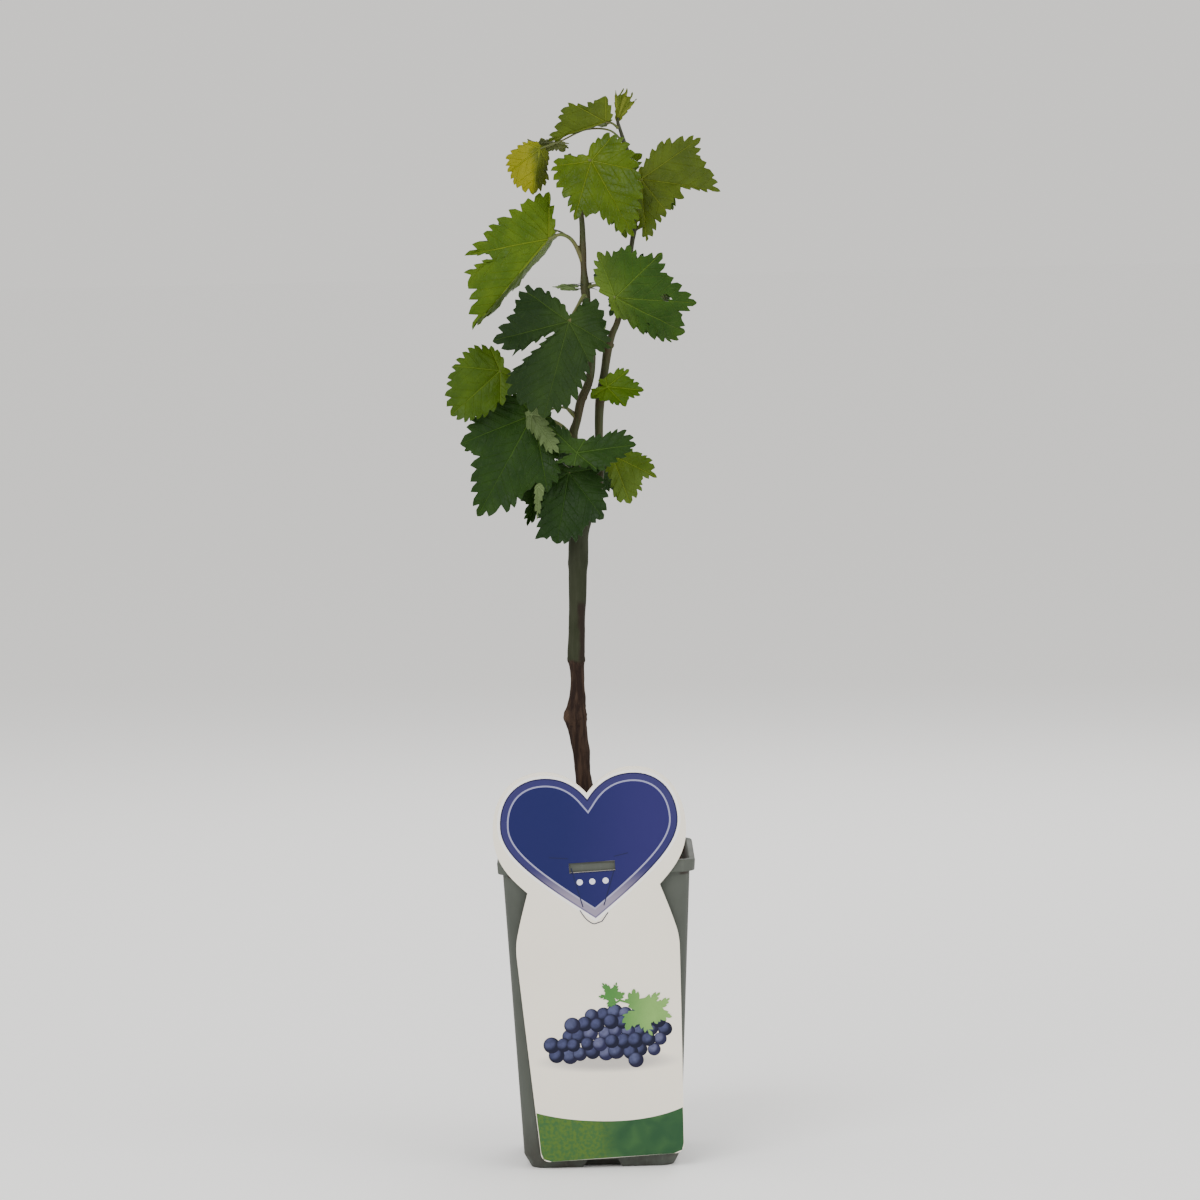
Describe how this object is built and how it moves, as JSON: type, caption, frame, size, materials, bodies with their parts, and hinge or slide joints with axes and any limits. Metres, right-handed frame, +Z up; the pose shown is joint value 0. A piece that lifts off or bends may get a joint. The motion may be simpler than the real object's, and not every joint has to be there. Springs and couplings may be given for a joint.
{
  "type": "potted grapevine",
  "caption": "Young grafted grapevine with lobed green leaves on two shoots, growing in a tall square tapered nursery pot with a heart-topped picture label on its front",
  "frame": {"origin": "middle of the pot's underside, where it stands", "axes": "+Z up, the labelled front faces -Y, +X to the viewer's right"},
  "size_m": [0.1416, 0.1026, 0.5369],
  "materials": {
    "pot": "matte grey-green moulded plastic",
    "soil": "rough brown bark compost",
    "label": "satin printed plastic card",
    "trunk_bark": "rough flaking bark",
    "green_shoots": "smooth green bark",
    "leaves": "satin leaf"
  },
  "bodies": {
    "root": {"pot": "pot", "soil": "soil", "label": "label", "trunk": "trunk_bark", "shoot_left": "green_shoots", "shoot_right": "green_shoots", "leaf_tip": "leaves", "leaf_top_folded": "leaves", "leaf_young_yellow": "leaves", "leaf_bud_left": "leaves", "leaf_glossy_centre": "leaves", "leaf_upper_right": "leaves", "leaf_upper_left": "leaves", "leaf_middle_right": "leaves", "leaf_centre_large": "leaves", "leaf_small_right": "leaves", "leaf_left_young": "leaves", "leaf_lower_left_large": "leaves", "leaf_lower_middle": "leaves", "leaf_lower_right": "leaves", "leaf_bottom_middle": "leaves", "leaf_bottom_left": "leaves", "leaf_back_top": "leaves", "leaf_back_upper_left": "leaves", "leaf_back_right": "leaves", "leaf_back_middle": "leaves", "leaf_back_lower_left": "leaves", "leaf_back_bottom": "leaves", "leaf_back_top_right": "leaves", "leaf_back_side": "leaves", "stalk_top_folded": "green_shoots", "stalk_young_yellow": "green_shoots", "stalk_glossy_centre": "green_shoots", "stalk_upper_right": "green_shoots", "stalk_upper_left": "green_shoots", "stalk_middle_right": "green_shoots", "stalk_centre_large": "green_shoots", "stalk_small_right": "green_shoots", "stalk_left_young": "green_shoots", "stalk_lower_left_large": "green_shoots", "stalk_lower_middle": "green_shoots", "stalk_lower_right": "green_shoots", "stalk_bottom_middle": "green_shoots", "stalk_bottom_left": "green_shoots", "stalk_back_top": "green_shoots", "stalk_back_upper_left": "green_shoots", "stalk_back_right": "green_shoots", "stalk_back_middle": "green_shoots", "stalk_back_lower_left": "green_shoots", "stalk_back_bottom": "green_shoots", "stalk_back_top_right": "green_shoots", "stalk_back_side": "green_shoots", "bract_left": "leaves"}
  },
  "joints": []
}
